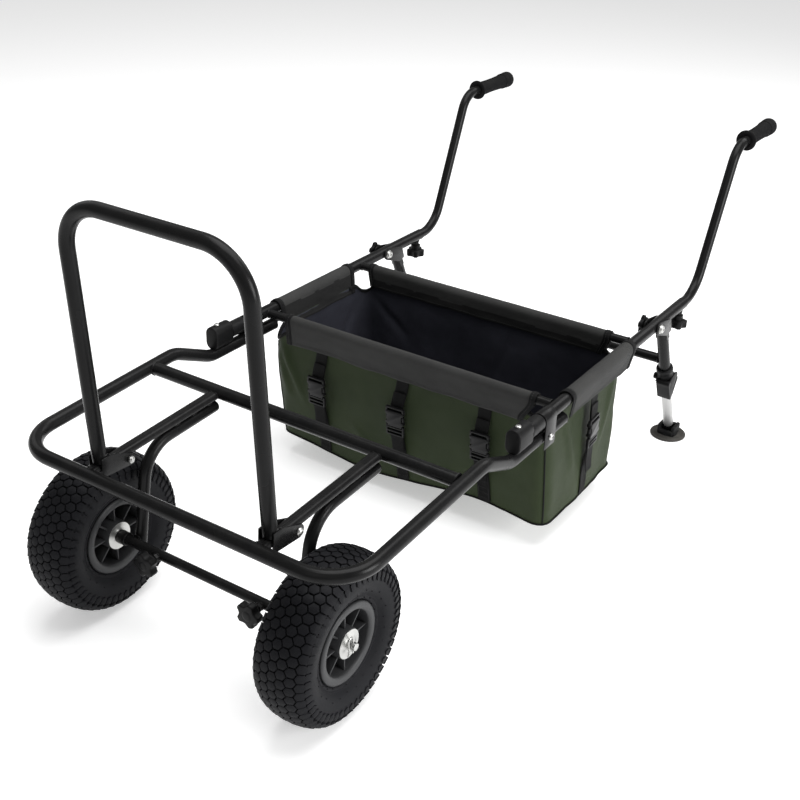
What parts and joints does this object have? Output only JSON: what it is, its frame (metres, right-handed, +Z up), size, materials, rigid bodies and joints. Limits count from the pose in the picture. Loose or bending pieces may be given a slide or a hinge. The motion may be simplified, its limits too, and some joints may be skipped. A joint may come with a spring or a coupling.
{
  "type": "fishing trolley",
  "caption": "Fishing trolley with a tubular frame, pneumatic wheels, folding rod hoop, hanging cloth bag, pull-out push handles and a folding stand with telescopic legs.",
  "frame": {"origin": "middle of the bounding box, at the ground the wheels and the feet stand on", "axes": "+Y from the nose with its wheels towards the push handles, +Z up, X across the trolley"},
  "size_m": [0.6624, 1.5002, 0.7113],
  "materials": {
    "powder_coat": "satin powder coat",
    "zinc": "zinc plated",
    "bright_tube": "bright drawn",
    "tyre_rubber": "matt rubber",
    "soft_rubber": "matt rubber",
    "black_plastic": "moulded, fine texture",
    "grip_foam": "soft foam",
    "green_cloth": "coated woven cloth"
  },
  "bodies": {
    "frame": {"nose_tube": "powder_coat", "nose_crossbar": "powder_coat", "axle_tube": "powder_coat", "bag_front_tube": "powder_coat", "bag_rear_tube": "powder_coat", "bag": "green_cloth", "deck_bar_right": "powder_coat", "deck_bar_left": "powder_coat", "wheel_leg_right": "powder_coat", "wheel_leg_left": "powder_coat", "hoop_bolt_right": "zinc", "hoop_bolt_left": "zinc", "rail_right": "powder_coat", "rail_left": "powder_coat", "rail_clamp_right": "black_plastic", "rail_clamp_left": "black_plastic", "rail_strap_right": "powder_coat", "rail_strap_left": "powder_coat", "strap_bolt_right": "zinc", "strap_bolt_left": "zinc", "stand_bolt_right": "zinc", "stand_bolt_left": "zinc"},
    "hoop": {"hoop": "powder_coat"},
    "stand": {"stand_head_right": "powder_coat", "stand_head_left": "powder_coat", "stand_leg_right": "powder_coat", "stand_leg_left": "powder_coat", "stand_crossbar": "powder_coat", "cam_collar_right": "black_plastic", "cam_collar_left": "black_plastic"},
    "axle_right": {"stub_axle_right": "powder_coat", "cotter_pin_right": "zinc"},
    "wheel_right": {"tyre_right": "tyre_rubber", "hub_right": "black_plastic", "outer_bearing_right": "zinc", "inner_bearing_right": "zinc", "inner_tube_right": "soft_rubber"},
    "axle_knob_right": {"axle_knob_right": "black_plastic"},
    "handle_right": {"handle_right": "powder_coat", "grip_right": "grip_foam"},
    "handle_knob_right": {"handle_knob_right": "black_plastic"},
    "stand_knob_right": {"stand_knob_right": "black_plastic"},
    "inner_leg_right": {"inner_leg_right": "bright_tube"},
    "cam_lever_right": {"cam_lever_right": "black_plastic"},
    "foot_right": {"foot_right": "soft_rubber"},
    "axle_left": {"stub_axle_left": "powder_coat", "cotter_pin_left": "zinc"},
    "wheel_left": {"tyre_left": "tyre_rubber", "hub_left": "black_plastic", "outer_bearing_left": "zinc", "inner_bearing_left": "zinc", "inner_tube_left": "soft_rubber"},
    "axle_knob_left": {"axle_knob_left": "black_plastic"},
    "handle_left": {"handle_left": "powder_coat", "grip_left": "grip_foam"},
    "handle_knob_left": {"handle_knob_left": "black_plastic"},
    "stand_knob_left": {"stand_knob_left": "black_plastic"},
    "inner_leg_left": {"inner_leg_left": "bright_tube"},
    "cam_lever_left": {"cam_lever_left": "black_plastic"},
    "foot_left": {"foot_left": "soft_rubber"}
  },
  "joints": [
    {"name": "hoop_fold", "type": "hinge", "parent": "frame", "child": "hoop", "pos_m": [0, -0.6241, 0.286], "axis": [-1, 0, 0], "range_deg": [0, 90]},
    {"name": "axle_pull_right", "type": "slide", "parent": "frame", "child": "axle_right", "axis": [1, 0, 0], "range_m": [0, 0.09]},
    {"name": "wheel_spin_right", "type": "hinge", "parent": "axle_right", "child": "wheel_right", "pos_m": [0.2202, -0.6201, 0.13], "axis": [1, 0, 0], "continuous": true},
    {"name": "axle_knob_turn_right", "type": "hinge", "parent": "frame", "child": "axle_knob_right", "pos_m": [0.101, -0.6534, 0.13], "axis": [0, -1, 0], "range_deg": [0, 720]},
    {"name": "handle_slide_right", "type": "slide", "parent": "frame", "child": "handle_right", "axis": [0, 1, 0], "range_m": [-0.006, 0.08]},
    {"name": "handle_knob_turn_right", "type": "hinge", "parent": "frame", "child": "handle_knob_right", "pos_m": [0.3005, 0.3819, 0.27], "axis": [0, 0, 1], "range_deg": [0, 720]},
    {"name": "axle_pull_left", "type": "slide", "parent": "frame", "child": "axle_left", "axis": [-1, 0, 0], "range_m": [0, 0.09]},
    {"name": "wheel_spin_left", "type": "hinge", "parent": "axle_left", "child": "wheel_left", "pos_m": [-0.2202, -0.6201, 0.13], "axis": [1, 0, 0], "continuous": true},
    {"name": "axle_knob_turn_left", "type": "hinge", "parent": "frame", "child": "axle_knob_left", "pos_m": [-0.101, -0.6534, 0.13], "axis": [0, -1, 0], "range_deg": [0, 720]},
    {"name": "handle_slide_left", "type": "slide", "parent": "frame", "child": "handle_left", "axis": [0, 1, 0], "range_m": [-0.006, 0.08]},
    {"name": "handle_knob_turn_left", "type": "hinge", "parent": "frame", "child": "handle_knob_left", "pos_m": [-0.3005, 0.3819, 0.27], "axis": [0, 0, 1], "range_deg": [0, 720]},
    {"name": "stand_fold", "type": "hinge", "parent": "frame", "child": "stand", "pos_m": [0, 0.2569, 0.303], "axis": [-1, 0, 0], "range_deg": [0, 55]},
    {"name": "stand_knob_turn_right", "type": "hinge", "parent": "frame", "child": "stand_knob_right", "pos_m": [0.2775, 0.2569, 0.303], "axis": [-1, 0, 0], "range_deg": [0, 720]},
    {"name": "inner_leg_slide_right", "type": "slide", "parent": "stand", "child": "inner_leg_right", "axis": [0, 0.4163, -0.9092], "range_m": [-0.06, 0.07]},
    {"name": "cam_lever_turn_right", "type": "hinge", "parent": "stand", "child": "cam_lever_right", "pos_m": [0.3005, 0.34376, 0.15325], "axis": [-1, 0, 0], "range_deg": [0, 100]},
    {"name": "foot_swivel_right", "type": "hinge", "parent": "inner_leg_right", "child": "foot_right", "pos_m": [0.3005, 0.42796, 0.015], "axis": [1, 0, 0], "range_deg": [-12, 12]},
    {"name": "stand_knob_turn_left", "type": "hinge", "parent": "frame", "child": "stand_knob_left", "pos_m": [-0.3235, 0.2569, 0.303], "axis": [-1, 0, 0], "range_deg": [0, 720]},
    {"name": "inner_leg_slide_left", "type": "slide", "parent": "stand", "child": "inner_leg_left", "axis": [0, 0.4163, -0.9092], "range_m": [-0.06, 0.07]},
    {"name": "cam_lever_turn_left", "type": "hinge", "parent": "stand", "child": "cam_lever_left", "pos_m": [-0.3005, 0.34376, 0.15325], "axis": [-1, 0, 0], "range_deg": [0, 100]},
    {"name": "foot_swivel_left", "type": "hinge", "parent": "inner_leg_left", "child": "foot_left", "pos_m": [-0.3005, 0.42796, 0.015], "axis": [1, 0, 0], "range_deg": [-12, 12]}
  ]
}
